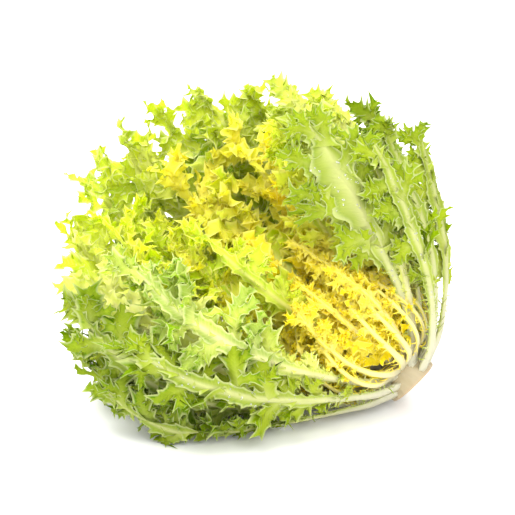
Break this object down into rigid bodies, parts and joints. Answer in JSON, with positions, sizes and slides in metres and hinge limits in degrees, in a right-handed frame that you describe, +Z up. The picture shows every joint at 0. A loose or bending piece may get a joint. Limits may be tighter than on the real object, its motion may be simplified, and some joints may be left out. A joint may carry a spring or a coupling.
{
  "type": "curly endive head",
  "caption": "Whole curly endive (frisee) head lying on its side, cut at the root, with frilled leaves round a yellow heart.",
  "frame": {"origin": "on the surface the head lies on, under the middle of its box", "axes": "+Z up; the cut root faces towards +X and down, and the leaves open towards -X and up"},
  "size_m": [0.2768, 0.2994, 0.2404],
  "materials": {
    "cut_root": "matt, moist cream flesh, browned at the cut",
    "green_leaf": "satin fresh leaf, thin enough to glow against light",
    "light_green_leaf": "satin fresh leaf, thin enough to glow against light",
    "yellow_leaf": "satin blanched leaf, thin enough to glow against light"
  },
  "bodies": {
    "root": {"stump": "cut_root", "heart_bud": "yellow_leaf", "outer_leaf_01": "green_leaf", "outer_leaf_02": "green_leaf", "outer_leaf_03": "green_leaf", "outer_leaf_04": "green_leaf", "outer_leaf_05": "green_leaf", "outer_leaf_06": "green_leaf", "outer_leaf_07": "green_leaf", "outer_leaf_08": "green_leaf", "outer_leaf_09": "green_leaf", "outer_leaf_10": "green_leaf", "outer_leaf_11": "green_leaf", "outer_leaf_12": "green_leaf", "outer_leaf_13": "green_leaf", "outer_leaf_14": "green_leaf", "outer_leaf_15": "green_leaf", "outer_leaf_16": "green_leaf", "outer_leaf_17": "green_leaf", "outer_leaf_18": "green_leaf", "outer_leaf_19": "green_leaf", "outer_leaf_20": "green_leaf", "outer_leaf_21": "green_leaf", "middle_leaf_01": "light_green_leaf", "middle_leaf_02": "light_green_leaf", "middle_leaf_03": "light_green_leaf", "middle_leaf_04": "light_green_leaf", "middle_leaf_05": "light_green_leaf", "middle_leaf_06": "light_green_leaf", "middle_leaf_07": "light_green_leaf", "middle_leaf_08": "light_green_leaf", "middle_leaf_09": "light_green_leaf", "middle_leaf_10": "light_green_leaf", "middle_leaf_11": "light_green_leaf", "middle_leaf_12": "light_green_leaf", "middle_leaf_13": "light_green_leaf", "middle_leaf_14": "light_green_leaf", "middle_leaf_15": "light_green_leaf", "middle_leaf_16": "light_green_leaf", "middle_leaf_17": "light_green_leaf", "middle_leaf_18": "light_green_leaf", "middle_leaf_19": "light_green_leaf", "heart_leaf_01": "yellow_leaf", "heart_leaf_02": "yellow_leaf", "heart_leaf_03": "yellow_leaf", "heart_leaf_04": "yellow_leaf", "heart_leaf_05": "yellow_leaf", "heart_leaf_06": "yellow_leaf", "heart_leaf_07": "yellow_leaf", "heart_leaf_08": "yellow_leaf", "heart_leaf_09": "yellow_leaf", "heart_leaf_10": "yellow_leaf", "heart_leaf_11": "yellow_leaf", "heart_leaf_12": "yellow_leaf", "heart_leaf_13": "yellow_leaf", "heart_leaf_14": "yellow_leaf", "heart_leaf_15": "yellow_leaf", "heart_leaf_16": "yellow_leaf", "heart_leaf_17": "yellow_leaf", "heart_leaf_18": "yellow_leaf"}
  },
  "joints": []
}
